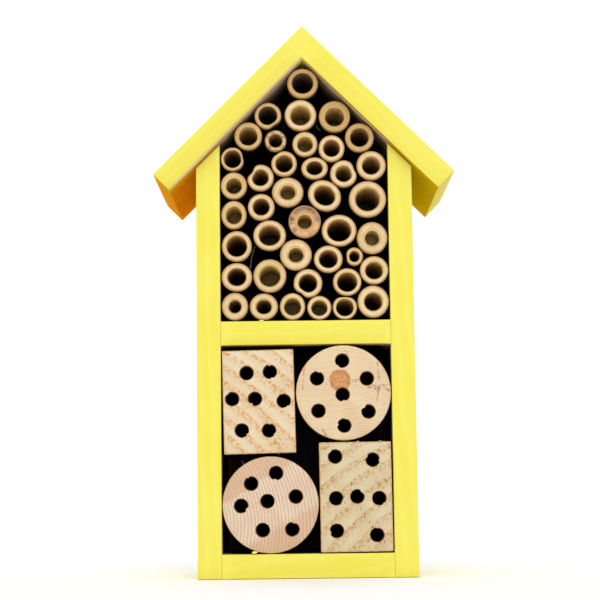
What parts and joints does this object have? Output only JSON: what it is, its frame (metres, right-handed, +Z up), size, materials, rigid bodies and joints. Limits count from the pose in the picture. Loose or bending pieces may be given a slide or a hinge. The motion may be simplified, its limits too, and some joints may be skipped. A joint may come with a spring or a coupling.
{
  "type": "insect hotel",
  "caption": "Small gabled timber house with a steep lapped roof, filled with cut bamboo stems above a shelf and drilled wooden blocks below, with a hanging ring on its back.",
  "frame": {"origin": "middle of the overall plan at the level of the base, so the house stands on z = 0", "axes": "+Z up; the open front with the stems and blocks faces -Y and the back panel +Y; +X is to the right seen from the front"},
  "size_m": [0.145, 0.086, 0.2648],
  "materials": {
    "painted_board": "satin yellow paint on planed softwood",
    "plywood": "bare oiled plywood",
    "bamboo": "sawn bamboo, satin skin",
    "bare_softwood": "sawn end grain",
    "nail_steel": "dull bright-drawn wire",
    "zinc_plate": "bright zinc plate"
  },
  "bodies": {
    "house": {"left_side_board": "painted_board", "right_side_board": "painted_board", "floor_board": "painted_board", "shelf": "painted_board", "left_roof_board": "painted_board", "right_roof_board": "painted_board", "back_panel": "plywood", "bamboo_stem_01": "bamboo", "bamboo_stem_02": "bamboo", "bamboo_stem_03": "bamboo", "bamboo_stem_04": "bamboo", "bamboo_stem_05": "bamboo", "bamboo_stem_06": "bamboo", "bamboo_stem_07": "bamboo", "bamboo_stem_08": "bamboo", "bamboo_stem_09": "bamboo", "bamboo_stem_10": "bamboo", "bamboo_stem_11": "bamboo", "bamboo_stem_12": "bamboo", "bamboo_stem_13": "bamboo", "bamboo_stem_14": "bamboo", "bamboo_stem_15": "bamboo", "bamboo_stem_16": "bamboo", "bamboo_stem_17": "bamboo", "bamboo_stem_18": "bamboo", "bamboo_stem_19": "bamboo", "bamboo_stem_20": "bamboo", "bamboo_stem_21": "bamboo", "bamboo_stem_22": "bamboo", "bamboo_stem_23": "bamboo", "bamboo_stem_24": "bamboo", "bamboo_stem_25": "bamboo", "bamboo_stem_26": "bamboo", "bamboo_stem_27": "bamboo", "bamboo_stem_28": "bamboo", "bamboo_stem_29": "bamboo", "bamboo_stem_30": "bamboo", "bamboo_stem_31": "bamboo", "bamboo_stem_32": "bamboo", "bamboo_stem_33": "bamboo", "bamboo_stem_34": "bamboo", "bamboo_stem_35": "bamboo", "bamboo_stem_36": "bamboo", "bamboo_stem_37": "bamboo", "bamboo_stem_38": "bamboo", "bamboo_stem_39": "bamboo", "bamboo_stem_40": "bamboo", "square_block_upper": "bare_softwood", "round_block_upper": "bare_softwood", "round_block_lower": "bare_softwood", "square_block_lower": "bare_softwood", "left_roof_nail_1": "nail_steel", "left_roof_nail_2": "nail_steel", "right_roof_nail_1": "nail_steel", "right_roof_nail_2": "nail_steel", "ridge_nail_1": "nail_steel", "ridge_nail_2": "nail_steel", "hanger_strap": "zinc_plate", "hanger_screw": "zinc_plate"},
    "ring": {"hanger_ring": "zinc_plate"}
  },
  "joints": [
    {"name": "ring_swing", "type": "hinge", "parent": "house", "child": "ring", "pos_m": [0, 0.0403, 0.226], "axis": [1, 0, 0], "range_deg": [0, 180]}
  ]
}
